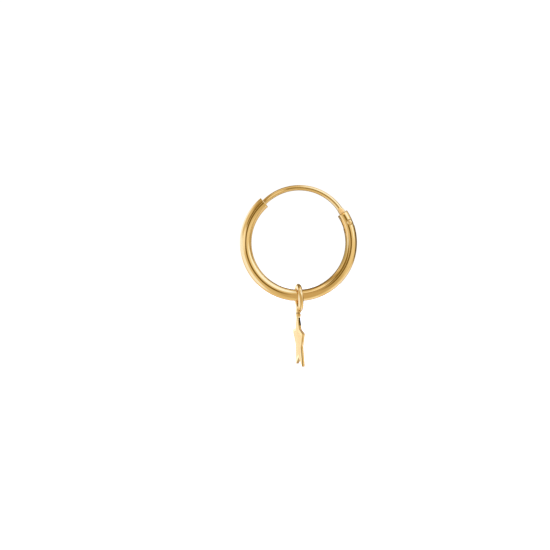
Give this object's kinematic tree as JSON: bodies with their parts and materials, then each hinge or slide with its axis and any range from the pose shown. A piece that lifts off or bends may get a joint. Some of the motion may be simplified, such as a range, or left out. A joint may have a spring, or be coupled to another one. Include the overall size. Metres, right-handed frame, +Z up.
{
  "type": "hoop earring",
  "caption": "Small round hoop earring: a hollow tube closed by a thin hinged ear wire, with a flat star hanging from a ring on the tube.",
  "frame": {"origin": "on the ear wire's centreline, straight above the centre of the hoop, where the earring hangs in the ear lobe", "axes": "+Z up; the hoop lies in the XZ plane with its hinge on the +X side; the front faces -Y; the hoop's centre is 5.614 mm below the origin"},
  "size_m": [0.012, 0.0057, 0.0186],
  "materials": {
    "polished_gold": "mirror-polished yellow gold",
    "rivet_gold": "hammered and polished yellow gold",
    "wire_gold": "drawn and polished yellow gold wire",
    "star_gold": "flat-lapped yellow gold with fine scratches and polished edges"
  },
  "bodies": {
    "hoop": {"hoop_tube": "polished_gold", "hinge_rivet": "rivet_gold"},
    "wire": {"ear_wire": "wire_gold"},
    "drop": {"star_drop": "star_gold"}
  },
  "joints": [
    {"name": "wire_hinge", "type": "hinge", "parent": "hoop", "child": "wire", "pos_m": [0.0052, 0, -0.00354], "axis": [0, 1, 0], "range_deg": [0, 110]},
    {"name": "drop_swing", "type": "hinge", "parent": "hoop", "child": "drop", "pos_m": [0, 0, -0.01101], "axis": [1, 0, 0], "continuous": true}
  ]
}
